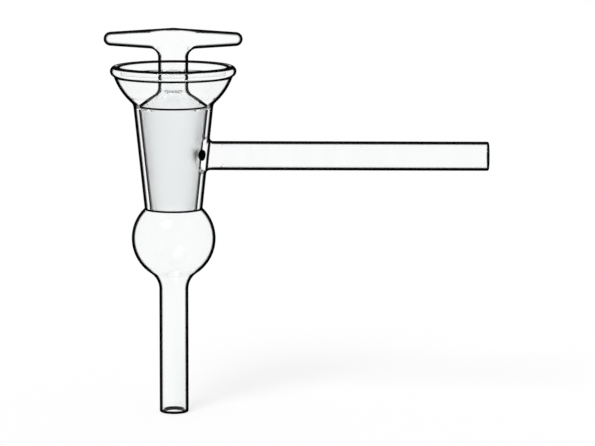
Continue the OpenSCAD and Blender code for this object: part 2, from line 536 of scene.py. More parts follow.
@dataclass
class Barrel:
    """The barrel: lower tube, bulb, ground seat, cup with its bead, and side arm, all one glass.

    Sizes are in millimetres. Its wall is turned as one section and the arm as another, and a
    patch of the seat's wall is opened and bridged where the two are fused.
    """

    lead: Leading
    joint: GroundJoint
    wall: float = 1.3
    tube_length: float = 43.1
    neck_r: float = 6.9
    bulb_r: float = 14.4
    bead_r: float = 1.85
    bead_overhang: float = 0.7
    bowl_rise: float = 5.4
    cup_wall: float = 1.5
    cup_fillet: float = 2.6
    arm_fillet: float = 1.2
    patch: float = 8.0
    port_edge: float = 0.25
    socket_edge: float = 0.5
    outer_edge: float = 0.35
    inner_edge: float = 0.25
    skin_depth: float = 0.45
    mouth_shade: float = 0.4
    belly: float = 12.5
    belly_fade: float = 3.0

    def __post_init__(self) -> None:
        """Works out the centres that the section is drawn about."""
        self.tube_r = self.lead.tube_r
        self.bore_r = self.tube_r - self.wall
        self.pivot = (self.tube_r + self.neck_r, self.tube_length)
        rise = math.sqrt((self.bulb_r + self.neck_r) ** 2 - self.pivot[0] ** 2)
        self.bulb = (0.0, self.tube_length + rise)
        self.rim_z = self.lead.rim_top - self.bead_r
        self.bowl = (0.0, self.rim_z + self.bowl_rise)
        self.bowl_r = math.hypot(self.lead.cup_r - self.bead_overhang, self.bowl_rise)
        self.bead = (self.lead.cup_r - self.bead_r, self.rim_z)
        self.root_x = self.joint.outside_r(self.lead.port_z)
        self.mouth_x = self.joint.bore_r(self.lead.port_z)

    @property
    def creases(self) -> tuple["Crease", ...]:
        """The bends at seat, bead and arm's root, and the two open ends, all shown dark by painted
        shade.
        """
        lead, bead_line = self.lead, LINE * 0.7
        under = crossing(self.bead, self.bead_r, self.bowl, self.bowl_r, 1)
        return (
            Crease(Axis.Z, self.joint.seat_z, FINE_LINE * 1.1),
            Crease(Axis.Z, under[1], bead_line),
            Crease(Axis.Z, lead.rim_top - LINE * 0.3, bead_line),
            Crease(
                Axis.X,
                self.root_x,
                LINE * 0.8,
                lean=self.joint.lean,
                middle=lead.port_z,
                half=self.tube_r + 0.3,
            ),
            Crease(Axis.Z, LIP_LINE * 0.55, LIP_LINE * 1.2, through=True),
            Crease(Axis.X, lead.arm_reach - LIP_LINE * 0.45, LIP_LINE, through=True),
        )

    @property
    def windows(self) -> tuple["Oval", ...]:
        """The places where light goes straight through the wall: the arm's root and the throat."""
        return (
            Oval((self.root_x + 0.6, self.lead.port_z), 4.8, 6.6),
            Oval((0, self.joint.top_z + 1.0), 24, 2.0),
        )

    def build(self) -> bpy.types.Object:
        """Blows the barrel.

        Returns:
            The glass, in millimetres.
        """
        body = self._body()
        arm = self._arm()
        self._saddle(arm)
        self._open_patch(body)
        glass = fuse(body, arm)
        for outside, cuts in ((True, 4), (False, 9)):
            bridge(
                glass,
                cuts,
                lambda edge: edge.is_boundary
                and all((self._depth(v.co) > 0) == outside for v in edge.verts),
            )
        bpy.ops.object.mode_set(mode="OBJECT")
        self._settle_patches(glass)
        return glass

    def _body(self) -> bpy.types.Object:
        """Turns the whole closed wall of tube, bulb, seat and cup."""
        joint, wall = self.joint, self.wall
        low, high = self.lead.port_z - self.patch, self.lead.port_z + self.patch
        lip = (self.tube_r - wall / 2, wall / 2)
        foot = cone_spot(joint.outside_r, joint.seat_z)
        out = (1 / joint.tilt, -joint.lean / joint.tilt)

        def fillet_line(z: float) -> float:
            """Radius at which a ball would roll up the outside of the seat."""
            return joint.outside_r(z) + self.cup_fillet * joint.tilt

        ball = cone_meets(fillet_line, self.bowl, self.bowl_r + self.cup_fillet, -1)
        leave = (ball[0] - out[0] * self.cup_fillet, ball[1] - out[1] * self.cup_fillet)
        under = crossing(self.bead, self.bead_r, self.bowl, self.bowl_r, 1)
        inner_bowl = self.bowl_r - self.cup_wall
        inside = crossing(self.bead, self.bead_r, self.bowl, inner_bowl, 1)
        mouth = cone_meets(joint.bore_r, self.bowl, inner_bowl, -1)
        step = cone_meets(joint.bore_r, self.bulb, self.bulb_r - wall, 1)
        neck_in = towards(self.pivot, self.bulb, self.neck_r + wall)

        section = Section((self.bore_r, lip[1]))
        section.curve((self.tube_r, lip[1]), lip, Turn.LEFT)
        section.line((self.tube_r, self.tube_length))
        section.curve(towards(self.pivot, self.bulb, self.neck_r), self.pivot, Turn.RIGHT)
        section.curve(foot, self.bulb, Turn.LEFT)
        section.line(cone_spot(joint.outside_r, low))
        section.line(cone_spot(joint.outside_r, high), rows=2 * WINDOW)
        section.line(leave)
        section.curve(towards(ball, self.bowl, self.cup_fillet), ball, Turn.RIGHT)
        section.curve(under, self.bowl, Turn.LEFT)
        section.curve(inside, self.bead, Turn.LEFT)
        section.curve(mouth, self.bowl, Turn.RIGHT)
        section.line(cone_spot(joint.bore_r, high))
        section.line(cone_spot(joint.bore_r, low), rows=2 * WINDOW)
        section.line(step)
        section.curve(neck_in, self.bulb, Turn.RIGHT)
        section.curve((self.bore_r, self.tube_length), self.pivot, Turn.LEFT)
        section.line((self.bore_r, lip[1]))
        section.soften((foot, under, inside), self.outer_edge)
        section.soften((mouth, step), self.inner_edge)
        return section.revolve()

    def _arm(self) -> bpy.types.Object:
        """Turns the side arm, from the fillet at its root to the port in the seat."""
        z, r, root = self.lead.port_z, self.tube_r, self.root_x
        bore, port = z + self.bore_r, z + self.joint.port_r
        fillet = (root + self.arm_fillet, z + r + self.arm_fillet)
        lip = (self.lead.arm_reach - self.wall / 2, z + r - self.wall / 2)
        socket = (root + self.socket_edge, bore - self.socket_edge)
        brim = (root - self.port_edge, port + self.port_edge)
        section = Section((root, fillet[1]))
        section.curve((fillet[0], z + r), fillet, Turn.LEFT)
        section.line((lip[0], z + r))
        section.curve((lip[0], bore), lip, Turn.RIGHT)
        section.line((socket[0], bore))
        section.curve((root, socket[1]), socket, Turn.LEFT)
        section.line((root, brim[1]), rows=3)
        section.curve((brim[0], port), brim, Turn.RIGHT)
        section.line((self.mouth_x, port), rows=5)
        return section.revolve(ASIDE, Vector((0, 0, z)), steps=8 * WINDOW)

    def _saddle(self, arm: bpy.types.Object) -> None:
        """Fits the arm's root and the port's two mouths to the cones that they meet."""
        places = points_of(arm)
        across, up = places[:, 1], places[:, 2]
        root = places[:, 0] < self.root_x + self.arm_fillet + TOUCH
        outer = np.sqrt(np.maximum(self.joint.outside_r(up) ** 2 - across**2, 1)) - self.root_x
        inner = np.sqrt(np.maximum(self.joint.bore_r(up) ** 2 - across**2, 1)) - self.mouth_x
        share = np.clip((places[:, 0] - self.mouth_x) / (self.root_x - self.mouth_x), 0, 1)
        places[root, 0] += (inner + share * (outer - inner))[root]
        put_points(arm, places)

    def _in_patch(self, place: Vector, slack: float = 0.0) -> bool:
        """Says whether a place lies in the part of the seat's wall that the arm is fused to."""
        aside = abs(math.atan2(place.y, place.x))
        width = WINDOW * math.tau / ROUND + slack / self.mouth_x
        return aside < width and abs(place.z - self.lead.port_z) < self.patch + slack

    def _depth(self, place: Vector) -> float:
        """Gives how far a place stands off the middle of the seat's wall."""
        middle = self.joint.bore_r(place.z) + self.joint.barrel_wall / 2
        return math.hypot(place.x, place.y) - middle

    def _open_patch(self, body: bpy.types.Object) -> None:
        """Takes the patch out of both faces of the seat's wall."""
        fuse(body)
        half = self.joint.barrel_wall / 2 + 4 * NEAR

        def cut_out(face: bmesh.types.BMFace) -> bool:
            """Whether a face lies in the patch."""
            middle = face.calc_center_median()
            return self._in_patch(middle) and abs(self._depth(middle)) < half

        choose(body, "FACE", cut_out)
        bpy.ops.mesh.delete(type="FACE")
        bpy.ops.object.mode_set(mode="OBJECT")

    def _settle_patches(self, glass: bpy.types.Object) -> None:
        """Lays the bridged glass onto the cones and rounds the arm's root into the barrel."""
        joint, port_z = self.joint, self.lead.port_z

        def outside(spots: np.ndarray) -> np.ndarray:
            """How far spots stand off the barrel with its arm fused on."""
            x, y, z = spots.T
            cone = (np.hypot(x, y) - joint.outside_r(z)) / joint.tilt
            tube = np.hypot(y, z - port_z) - self.tube_r
            return melted(cone, tube, self.arm_fillet)

        def bore(spots: np.ndarray) -> np.ndarray:
            """How far spots stand off the seat's bore."""
            x, y, z = spots.T
            return (np.hypot(x, y) - joint.bore_r(z)) / joint.tilt

        places = points_of(glass)
        x, y, z = places.T
        off_arm = np.hypot(y, z - port_z)
        near = np.array([self._in_patch(Vector(place), TOUCH) for place in places])
        near &= x < self.root_x + 2 * self.arm_fillet
        inner = near & (off_arm > joint.port_r + NEAR)
        inner &= np.hypot(x, y) < joint.bore_r(z) + joint.barrel_wall / 2
        outer = near & (off_arm > self.tube_r - TOUCH) & ~inner
        places[outer] = settle(places[outer], outside)
        places[inner] = settle(places[inner], bore)
        put_points(glass, places)

    def finish(self, glass: bpy.types.Object, finishes: dict[Zone, bpy.types.Material]) -> None:
        """Dresses the barrel and hands it over.

        Args:
            glass: the barrel, in millimetres.
            finishes: the material of each zone.
        """
        joint, port_z = self.joint, self.lead.port_z
        normals = normals_of(glass)
        x, y, z = points_of(glass).T
        zero = np.zeros_like(x)
        round_r, off_arm = np.hypot(x, y), np.hypot(y, z - port_z)
        arm = (x > self.root_x + self.arm_fillet) & (off_arm < self.tube_r + 4 * NEAR)
        around = np.where(arm[:, None], stacked(zero, port_z - z, y), stacked(-y, x, zero))
        run = unit(np.cross(unit(around), normals))
        bend_r = [
            off / np.clip(np.abs((unit(way) * normals).sum(axis=1)), 0.05, 1)
            for off, way in (
                (round_r, stacked(x, y, zero)),
                (off_arm, stacked(zero, y, z - port_z)),
            )
        ]

        off_pivot = np.hypot(round_r - self.pivot[0], z - self.pivot[1])
        off_bowl = np.hypot(round_r, z - self.bowl[1])
        off_bead = np.hypot(round_r - self.bead[0], z - self.bead[1])
        bare = off_arm > self.tube_r - NEAR
        low = z < self.tube_length
        tube = low & (round_r > self.tube_r - self.skin_depth)
        neck = ~low & (z < self.bulb[1]) & (off_pivot < self.neck_r + NEAR)
        bulb = np.abs(np.hypot(round_r, z - self.bulb[1]) - self.bulb_r) < NEAR
        seat = (z > joint.seat_z - self.outer_edge - NEAR) & (z < self.rim_z)
        seat &= (round_r > joint.outside_r(z) - NEAR) & (off_bowl > self.bowl_r - NEAR)
        seat &= (x < 0) | bare
        root = seat & (x > 0) & bare & (off_arm < self.tube_r + self.arm_fillet + NEAR)
        bowl = (np.abs(off_bowl - self.bowl_r) < NEAR) & (z > joint.top_z) & (z < self.rim_z)
        bead = off_bead < self.bead_r + 2 * TOUCH
        arm_skin = arm & (off_arm > self.tube_r - self.skin_depth)
        skin = tube | neck | bulb | (seat & ~arm) | bowl | bead | arm_skin

        radius = np.where(arm, bend_r[1], np.where(root, np.minimum(*bend_r), bend_r[0]))
        across = np.where(skin, rim_share(radius), 0)
        inward = normals[:, 0] * x + normals[:, 1] * y < 0
        across = np.where(bead & inward, across * self.mouth_shade, across)
        belly = np.clip((self.belly - np.abs(z - self.bulb[1])) / self.belly_fade, 0, 1)
        along = np.select(
            [bead, bulb, bowl],
            [
                rim_share(self.bead_r, LINE * 0.5),
                rim_share(self.bulb_r) * belly,
                rim_share(self.bowl_r),
            ],
            zero,
        )

        def zone(middles: np.ndarray) -> np.ndarray:
            """Numbers each face's zone."""
            x, y, z = middles.T
            r, off_port = np.hypot(x, y), np.hypot(y, z - port_z)
            in_wall = (z > joint.seat_z) & (z < joint.top_z)
            in_wall &= r < joint.outside_r(z) - 2 * TOUCH
            port = in_wall & (off_port < joint.port_r + 2 * TOUCH) & (x > 0)
            ground = in_wall & (r < joint.bore_r(z) + 2 * NEAR) & ~port
            return np.select([port, ground], [Zone.PORT.value, Zone.GROUND.value], Zone.CLEAR.value)

        dress(glass, finishes, zone, across, along, run)
        hand_over(glass, "blown_barrel", "barrel")


# ------------------------------------------------------------------- plug


@dataclass
class Plug:
    """The hollow plug: ground cone, shoulder and neck, with a solid T handle on the neck.

    Sizes are in millimetres, and window is the facets from the port's middle to the edge of the
    patch that is opened for it.
    """

    lead: Leading
    joint: GroundJoint
    wall: float = 2.2
    neck_r: float = 5.15
    shoulder_slope: float = 34.7
    shoulder_r: float = 3.0
    bar_root_r: float = 3.8
    bar_tip_r: float = 2.4
    crotch_r: float = 2.8
    crown_r: float = 0.5
    knuckle_drop: float = 0.3
    dome_margin: float = 1.6
    bar_start: float = 9.0
    window: int = 8
    patch: float = 3.6
    port_edge: float = 0.12
    shoulder_edge: float = 0.3
    foot_edge: float = 0.5
    inner_edge: float = 0.4
    brim: float = 1.0
    shoulder_rise: float = 4.0
    run_rise: float = 3.0
    bar_from: float = 3.0
    bar_by: float = 8.0

    def __post_init__(self) -> None:
        """Works out the heights that the handle is made to, and the sizes of the hollow."""
        self.slope = math.tan(math.radians(self.shoulder_slope))
        self.hollow_r = self.neck_r - self.wall
        self.turn = self.window * math.tau / ROUND
        self.handle_z = self.lead.handle_top - self.bar_root_r
        self.reach = self.lead.handle_reach - self.bar_tip_r
        self.taper = math.asin((self.bar_root_r - self.bar_tip_r) / self.reach)
        crotch_x = self.neck_r + self.crotch_r
        elbow = (self.bar_root_r - crotch_x * math.sin(self.taper)) / math.cos(self.taper)
        self.crotch_z = self.handle_z - elbow - self.crotch_r
        self.joint_z = self.crotch_z - 0.5
        self.knuckle_z = self.handle_z + self.bar_root_r - self.neck_r - self.knuckle_drop
        self.dome_z = self.crotch_z - self.dome_margin

    @property
    def creases(self) -> tuple["Crease", ...]:
        """The cone's upper edge, which gets a ring of painted shade."""
        return (Crease(Axis.Z, self.joint.top_z - 0.35, FINE_LINE * 1.15),)

    @property
    def windows(self) -> tuple["Oval", ...]:
        """The places where light goes straight through: the crown and the hollow's dome."""
        return (
            Oval((0, self.lead.handle_top - 2.0), 8, 2.6),
            Oval((0, self.dome_z - 1.0), 8, 2.4),
        )

    def build(self) -> bpy.types.Object:
        """Blows the plug and draws its handle.

        Returns:
            The glass, in millimetres.
        """
        body = self._body()
        self._port(body)
        glass = fuse(body, self._handle())
        bpy.ops.mesh.select_mode(type="VERT")
        weld(0.02)
        return glass

    def _body(self) -> bpy.types.Object:
        """Turns the cone, shoulder and neck, with the cavity inside them."""
        joint, slope = self.joint, self.slope
        foot, edge = (joint.small_r, joint.seat_z), cone_spot(joint.plug_r, joint.top_z)
        bend = (self.neck_r, joint.top_z + (edge[0] - self.neck_r) * slope)
        in_foot = (foot[0] - self.wall, joint.seat_z)
        drop = self.wall / math.cos(math.radians(self.shoulder_slope))
        rise = joint.top_z - drop + slope * edge[0]
        in_edge_r = (in_foot[0] + joint.lean * (rise - joint.seat_z)) / (1 + joint.lean * slope)
        in_edge = (in_edge_r, rise - slope * in_edge_r)
        in_bend = (self.hollow_r, in_edge[1] + slope * (in_edge_r - self.hollow_r))
        dome = (0.0, self.dome_z - self.hollow_r)
        low, high = self.lead.port_z - self.patch, self.lead.port_z + self.patch

        section = Section((self.neck_r, self.joint_z))
        section.corner(bend, edge, self.shoulder_r)
        section.corner(edge, foot, self.shoulder_edge)
        section.line((joint.plug_r(high), high))
        section.line((joint.plug_r(low), low), rows=2 * self.window)
        section.corner(foot, in_foot, self.foot_edge)
        section.corner(in_foot, in_edge, self.inner_edge)
        section.line((joint.plug_r(low) - self.wall, low))
        section.line((joint.plug_r(high) - self.wall, high), rows=2 * self.window)
        section.corner(in_edge, in_bend, self.shoulder_r)
        section.corner(in_bend, (self.hollow_r, dome[1]), self.shoulder_r)
        section.line((self.hollow_r, dome[1]))
        section.curve((0.0, self.dome_z), dome, Turn.LEFT)
        return section.revolve()

    def _drill(self) -> bpy.types.Object:
        """Turns the port's wall, and fits its two mouths to the cone and to the cavity."""
        joint, port_z, edge = self.joint, self.lead.port_z, self.port_edge
        out_x = joint.plug_r(port_z)
        in_x, side = out_x - self.wall, port_z + joint.port_r
        section = Section((out_x, side + edge))
        section.curve((out_x - edge, side), (out_x - edge, side + edge), Turn.RIGHT)
        section.line((in_x + edge, side), rows=6)
        section.curve((in_x, side + edge), (in_x + edge, side + edge), Turn.RIGHT)
        drill = section.revolve(ASIDE, Vector((0, 0, port_z)), steps=8 * self.window)
        places = points_of(drill)
        x, y, z = places.T
        outer = np.sqrt(joint.plug_r(z) ** 2 - y**2) - out_x
        inner = np.sqrt((joint.plug_r(z) - self.wall) ** 2 - y**2) - in_x
        share = np.clip((x - in_x) / self.wall, 0, 1)
        places[:, 0] += inner + share * (outer - inner)
        put_points(drill, places)
        return drill

    def _port(self, body: bpy.types.Object) -> None:
        """Drills the port through the cone's wall."""
        half, drilled_area = self.wall / 2, 0.12

        def depth(place: Vector) -> float:
            """How far a place stands off the middle of the cone's wall."""
            return math.hypot(place.x, place.y) - self.joint.plug_r(place.z) + half

        def cut_out(face: bmesh.types.BMFace) -> bool:
            """Whether a face of the wall lies in the patch round the port."""
            middle = face.calc_center_median()
            return (
                abs(math.atan2(middle.y, middle.x)) < self.turn
                and abs(middle.z - self.lead.port_z) < self.patch
                and min(abs(depth(v.co)) for v in face.verts) > half - NEAR
                and face.calc_area() > drilled_area
            )

        fuse(body, self._drill())
        choose(body, "FACE", cut_out)
        bpy.ops.mesh.delete(type="FACE")
        for outside in (True, False):
            bridge(
                body,
                2,
                lambda edge: edge.is_boundary
                and edge.verts[0].co.z < self.joint_z - 1
                and all((depth(v.co) > 0) == outside for v in edge.verts),
            )
        bpy.ops.object.mode_set(mode="OBJECT")
        self._settle_port(body)

    def _off_cone(self, spots: np.ndarray, sink: float) -> np.ndarray:
        """Gives how far spots stand off the cone, or off a wall sunk into it."""
        x, y, z = spots.T
        return (np.hypot(x, y) - self.joint.plug_r(z) + sink) / self.joint.tilt

    def _settle_port(self, body: bpy.types.Object) -> None:
        """Lays the bridged glass round the port onto the cone, and onto the cavity's wall."""
        joint, port_z = self.joint, self.lead.port_z
        places = points_of(body)
        x, y, z = places.T
        near = np.abs(np.arctan2(y, x)) < self.turn * (1 + TOUCH)
        near &= np.abs(z - port_z) < self.patch + TOUCH
        near &= np.hypot(y, z - port_z) > joint.port_r + self.port_edge - TOUCH
        outer = np.hypot(x, y) - joint.plug_r(z) > -self.wall / 2
        for sink, chosen in ((0.0, near & outer), (self.wall, near & ~outer)):
            places[chosen] = settle(places[chosen], lambda spots: self._off_cone(spots, sink))
        put_points(body, places)

    def _skin(self, places: np.ndarray) -> np.ndarray:
        """Gives how far places stand off the handle, with neck and bar melted together."""
        x, y, z = places.T
        up = np.maximum(z - self.knuckle_z, 0)
        neck = np.sqrt(x * x + y * y + up * up) - self.neck_r
        bar_r = self.bar_root_r / math.cos(self.taper) - math.tan(self.taper) * np.hypot(x, 0.8)
        bar = (np.hypot(y, z - self.handle_z) - bar_r) * math.cos(self.taper)
        rise = np.clip((z - self.handle_z + self.bar_root_r) / self.bar_root_r, 0, 1)
        blend = self.crotch_r + (self.crown_r - self.crotch_r) * rise * rise * (3 - 2 * rise)
        return melted(neck, bar, blend)

    def _collar(self) -> bpy.types.Object:
        """Draws the open edge of half a handle: a seam over the neck, and half a ring round it."""
        quarter = ROUND // 4
        arc_rows = int(quarter * 0.62)
        rise_rows = quarter - arc_rows
        top = (0.0, self.knuckle_z)
        seam = Section((-self.neck_r, self.joint_z), Vector((0, 1, 0)))
        seam.line((-self.neck_r, self.knuckle_z), rise_rows)
        seam.curve((self.neck_r, self.knuckle_z), top, Turn.RIGHT, 2 * arc_rows)
        seam.line((self.neck_r, self.joint_z), rise_rows)
        bpy.ops.mesh.spin(steps=2 * quarter, angle=math.pi, center=(0, 0, self.joint_z), axis=UP)
        return seam.lift()

    def _rod(self) -> bpy.types.Object:
        """Turns one side of the bar, with its rounded end."""
        z, tip_r, taper = self.handle_z, self.bar_tip_r, self.taper
        root = self.bar_root_r / math.cos(taper)
        bar = Section((self.bar_start, z + root - math.tan(taper) * self.bar_start))
        tangent = (self.reach + tip_r * math.sin(taper), z + tip_r * math.cos(taper))
        bar.line(tangent, rows=16)
        bar.curve((self.reach + tip_r, z), (self.reach, z), Turn.RIGHT)
        return bar.revolve(ASIDE, Vector((0, 0, z)))

    def _lay_on_skin(self, glass: bpy.types.Object, rounds: int = 3) -> None:
        """Lays the bridged part of half a handle onto its skin, and evens it out.

        Args:
            glass: half a handle.
            rounds: how often it is laid down and evened out.
        """
        start = self.bar_start - TOUCH
        places = points_of(glass)
        ring = np.abs(places[:, 2] - self.joint_z) < TOUCH
        seam = (places[:, 0] < TOUCH) & ~ring
        free = (places[:, 0] < start) & ~ring & ~seam
        for _ in range(rounds):
            places[seam] = settle(places[seam], self._skin)
            places[seam, 0] = 0.0
            places[free] = settle(places[free], self._skin)
            put_points(glass, places)
            fuse(glass)
            choose(
                glass,
                "VERT",
                lambda v: TOUCH < v.co.x < start and abs(v.co.z - self.joint_z) > TOUCH,
            )
            bpy.ops.mesh.vertices_smooth(factor=0.5, repeat=4)
            bpy.ops.object.mode_set(mode="OBJECT")
            places = points_of(glass)
        places[free] = settle(places[free], self._skin)
        put_points(glass, places)

    def _handle(self) -> bpy.types.Object:
        """Draws one side of the handle out of the neck, and mirrors it to the other side."""
        glass = fuse(self._collar(), self._rod())
        bridge(glass, 18, lambda edge: edge.is_wire or edge.is_boundary)
        bpy.ops.object.mode_set(mode="OBJECT")
        self._lay_on_skin(glass)
        fuse(glass)
        bpy.ops.mesh.select_all(action="SELECT")
        bpy.ops.mesh.duplicate()
        bpy.ops.transform.resize(value=(-1, 1, 1), center_override=(0, 0, 0))
        weld(0.005)
        return glass

    def _shell_r(self, z: np.ndarray) -> np.ndarray:
        """Gives the plug's outer radius at each height, up to the neck."""
        above = self.joint.plug_r(self.joint.top_z) - (z - self.joint.top_z) / self.slope
        return np.maximum(np.minimum(self.joint.plug_r(z), above), self.neck_r)

    def finish(self, glass: bpy.types.Object, finishes: dict[Zone, bpy.types.Material]) -> None:
        """Dresses the plug and hands it over.

        Args:
            glass: the plug, in millimetres.
            finishes: the material of each zone.
        """
        joint, port_z = self.joint, self.lead.port_z
        normals = normals_of(glass)
        x, y, z = points_of(glass).T
        zero, reach_x, round_r = np.zeros_like(x), np.abs(x), np.hypot(x, y)
        hollow = (z < self.dome_z + TOUCH) & (round_r < self.hollow_r + NEAR)
        inside = round_r < self._shell_r(z) - self.wall * 0.4
        cavity = hollow | ((z < joint.top_z + self.shoulder_rise) & inside)

        onto_bar = np.clip((z - self.joint_z) / self.run_rise, 0, 1)
        side = np.where((x < 0) & (z < self.handle_z), -1, 1)
        form = stacked(side * onto_bar, zero, 1 - onto_bar)
        run = unit(form - normals * (form * normals).sum(axis=1)[:, None])

        bar_r = np.maximum(self.bar_root_r - math.tan(self.taper) * reach_x, self.bar_tip_r)
        on_bar = np.clip((reach_x - self.bar_from) / (self.bar_by - self.bar_from), 0, 1)
        handle_r = self.neck_r + (bar_r - self.neck_r) * on_bar
        facing_out = (unit(stacked(x, y, zero)) * normals).sum(axis=1)
        turned_r = round_r / np.clip(np.abs(facing_out), 0.3, 1)
        radius = np.where(z > self.crotch_z, handle_r, turned_r)
        line = np.where(z < joint.top_z + 2 * TOUCH, FINE_LINE, LINE)
        across = np.where(cavity, 0, rim_share(radius, line))
        along = np.where(reach_x > self.reach, rim_share(self.bar_tip_r), 0)

        def zone(middles: np.ndarray) -> np.ndarray:
            """Numbers each face's zone."""
            x, y, z = middles.T
            off_port, below = np.hypot(y, z - port_z), z < joint.top_z
            off_cone, sunk = np.hypot(x, y) - joint.plug_r(z), 2 * NEAR - self.wall
            drilled = off_port < joint.port_r + NEAR
            drilled &= x > joint.plug_r(z) - self.wall - 2 * NEAR
            brim = (off_port < joint.port_r + self.brim) & (x > 0) & (off_cone < sunk)
            port = below & (drilled | brim)
            ground = below & (np.abs(off_cone) < NEAR) & ~port
            return np.select([port, ground], [Zone.PORT.value, Zone.GROUND.value], Zone.CLEAR.value)

        dress(glass, finishes, zone, across, along, run)
        hand_over(glass, "ground_plug", "plug")


# ------------------------------------------------------------------- finishes


class Nodes:
    """A material's node tree, with short ways to add to it."""

    def __init__(self, name: str) -> None:
        """Starts an empty material with an output."""
        self.material = bpy.data.materials.new(name)
        self.material.use_nodes = True
        self.tree = self.material.node_tree
        self.tree.nodes.clear()
        self.output = self.tree.nodes.new("ShaderNodeOutputMaterial")

    @classmethod
    def over(cls, tree: bpy.types.NodeTree) -> "Nodes":
        """Takes up a tree that is already there."""
        nodes = cls.__new__(cls)
        nodes.tree = tree
        return nodes

    def add(self, kind: str, **settings: object) -> bpy.types.Node:
        """Adds a node of a kind, with its settings."""
        node = self.tree.nodes.new(kind)
        for key, value in settings.items():
            setattr(node, key, value)
        return node

    def feed(self, node: bpy.types.Node, **inputs: object) -> bpy.types.Node:
        """Sets a node's inputs, or links sockets to them.

        Args:
            node: the node.
            inputs: each input by its name with underscores for spaces, or by n and its number.

        Returns:
            The node.
        """
        for key, value in inputs.items():
            numbered = key[0] == "n" and key[1:].isdigit()
            socket = node.inputs[int(key[1:]) if numbered else key.replace("_", " ")]
            if isinstance(value, bpy.types.NodeSocket):
                self.tree.links.new(value, socket)
            else:
                socket.default_value = value
        return node

    def sum(self, operation: str, *values: object) -> bpy.types.NodeSocket:
        """Adds a math node and gives its result."""
        node = self.add("ShaderNodeMath", operation=operation)
        self.feed(node, **{f"n{i}": value for i, value in enumerate(values)})
        return node.outputs[0]

    def blend(
        self, share: bpy.types.NodeSocket, first: Colour, second: Colour
    ) -> bpy.types.NodeSocket:
        """Blends two colours and gives the result."""
        node = self.add("ShaderNodeMix", data_type="RGBA", blend_type="MIX")
        return self.feed(node, n0=share, n6=first, n7=second).outputs[2]

    def ramp(self, value: object, low: object, high: object) -> bpy.types.NodeSocket:
        """Gives a value's smooth rise from 0 at low to 1 at high."""
        node = self.add("ShaderNodeMapRange", interpolation_type="SMOOTHSTEP")
        self.feed(node, Value=value, From_Min=low, From_Max=high)
        return node.outputs[0]

    def noise(self, scale: tuple[float, float, float], detail: float = 2.0) -> bpy.types.NodeSocket:
        """Adds noise over the piece's own coordinates, with its scale along each axis."""
        place = self.add("ShaderNodeTexCoord")
        mapping = self.add("ShaderNodeMapping")
        self.feed(mapping, Vector=place.outputs["Object"], Scale=scale)
        node = self.add("ShaderNodeTexNoise")
        return self.feed(node, Vector=mapping.outputs[0], Scale=1.0, Detail=detail).outputs["Fac"]

    def height(self, axis: Axis, level: float) -> bpy.types.NodeSocket:
        """Gives how far a place lies along an axis of the piece from a level, in millimetres."""
        place = self.add("ShaderNodeTexCoord")
        split = self.feed(self.add("ShaderNodeSeparateXYZ"), Vector=place.outputs["Object"])
        off = self.sum("SUBTRACT", split.outputs[axis.value], level * METRES)
        return self.sum("MULTIPLY", off, 1 / METRES)

    def rest(self, share: object) -> bpy.types.NodeSocket:
        """Gives what a share leaves of one."""
        return self.sum("SUBTRACT", 1.0, share)

    def attribute(self, name: str, output: str = "Fac") -> bpy.types.NodeSocket:
        """Reads one of the values that the piece was dressed with."""
        return self.add("ShaderNodeAttribute", attribute_name=name).outputs[output]

    def dark_edge(self, creases: tuple["Crease", ...] = ()) -> bpy.types.NodeSocket:
        """Gives 1 in the painted shade at the edge of a wall and 0 where it looks clear.

        Args:
            creases: the sharp bends that get a ring of painted shade.

        Returns:
            The edge's strength.
        """
        facing = self.add("ShaderNodeLayerWeight")
        turned = self.add(
            "ShaderNodeVectorTransform",
            vector_type="VECTOR",
            convert_from="OBJECT",
            convert_to="WORLD",
        )
        self.feed(turned, Vector=self.attribute("run", "Vector"))
        slanting = self.feed(self.add("ShaderNodeLayerWeight"), Normal=turned.outputs[0])
        square = self.rest(facing.outputs["Facing"])
        slant = self.rest(slanting.outputs["Facing"])
        slant = self.sum("MULTIPLY", slant, slant)
        shares = [self.attribute(name) for name in ("rim_across", "rim_along")]
        across, along = (self.sum("MULTIPLY", share, share) for share in shares)
        bend = self.sum("MULTIPLY_ADD", slant, self.sum("SUBTRACT", along, across), across)
        limit = self.sum("SQRT", self.sum("MAXIMUM", bend, 0.0))
        limit = self.sum("MAXIMUM", limit, 0.0005)
        clear = self.ramp(
            self.sum("DIVIDE", square, limit), 1.0 - SOFTNESS, 1.0 + SOFTNESS * 0.5
        )
        skin = self.ramp(shares[0], 0.05, 0.1)
        outside = self.rest(self.add("ShaderNodeNewGeometry").outputs["Backfacing"])
        dark = self.sum("MULTIPLY", self.rest(clear), outside)
        for crease in creases:
            ring = self.sum("MULTIPLY", crease.mask(self), skin)
            if not crease.through:
                ring = self.sum("MULTIPLY", ring, outside)
            dark = self.sum("MAXIMUM", dark, ring)
        return dark

    def bore_edge(self, share: float, blur: float = 0.004) -> bpy.types.NodeSocket:
        """Gives 1 in the painted shade at the edge of a bore that is seen through the glass round
        it.

        Args:
            share: half the edge's width, as a share of the bore's radius.
            blur: how softly the edge fades.

        Returns:
            The edge's strength.
        """
        square = self.rest(self.add("ShaderNodeLayerWeight").outputs["Facing"])
        least = math.sqrt(1 - ((1 + share) / GLASS_IOR) ** 2)
        most = math.sqrt(1 - ((1 - share) / GLASS_IOR) ** 2)
        risen = self.ramp(square, least - blur, least)
        fallen = self.rest(self.ramp(square, most - blur, most + blur))
        band = self.sum("MULTIPLY", risen, fallen)
        return self.sum(
            "MULTIPLY", band, self.add("ShaderNodeNewGeometry").outputs["Backfacing"]
        )

    def glass(self, colour: bpy.types.NodeSocket, **inputs: object) -> bpy.types.Node:
        """Adds borosilicate glass of a colour, with its other inputs as feed takes them."""
        node = self.feed(
            self.add("ShaderNodeBsdfPrincipled"),
            Base_Color=colour,
            IOR=GLASS_IOR,
            Specular_Tint=FAINT_SHINE,
            Transmission_Weight=1.0,
        )
        return self.feed(node, **inputs)

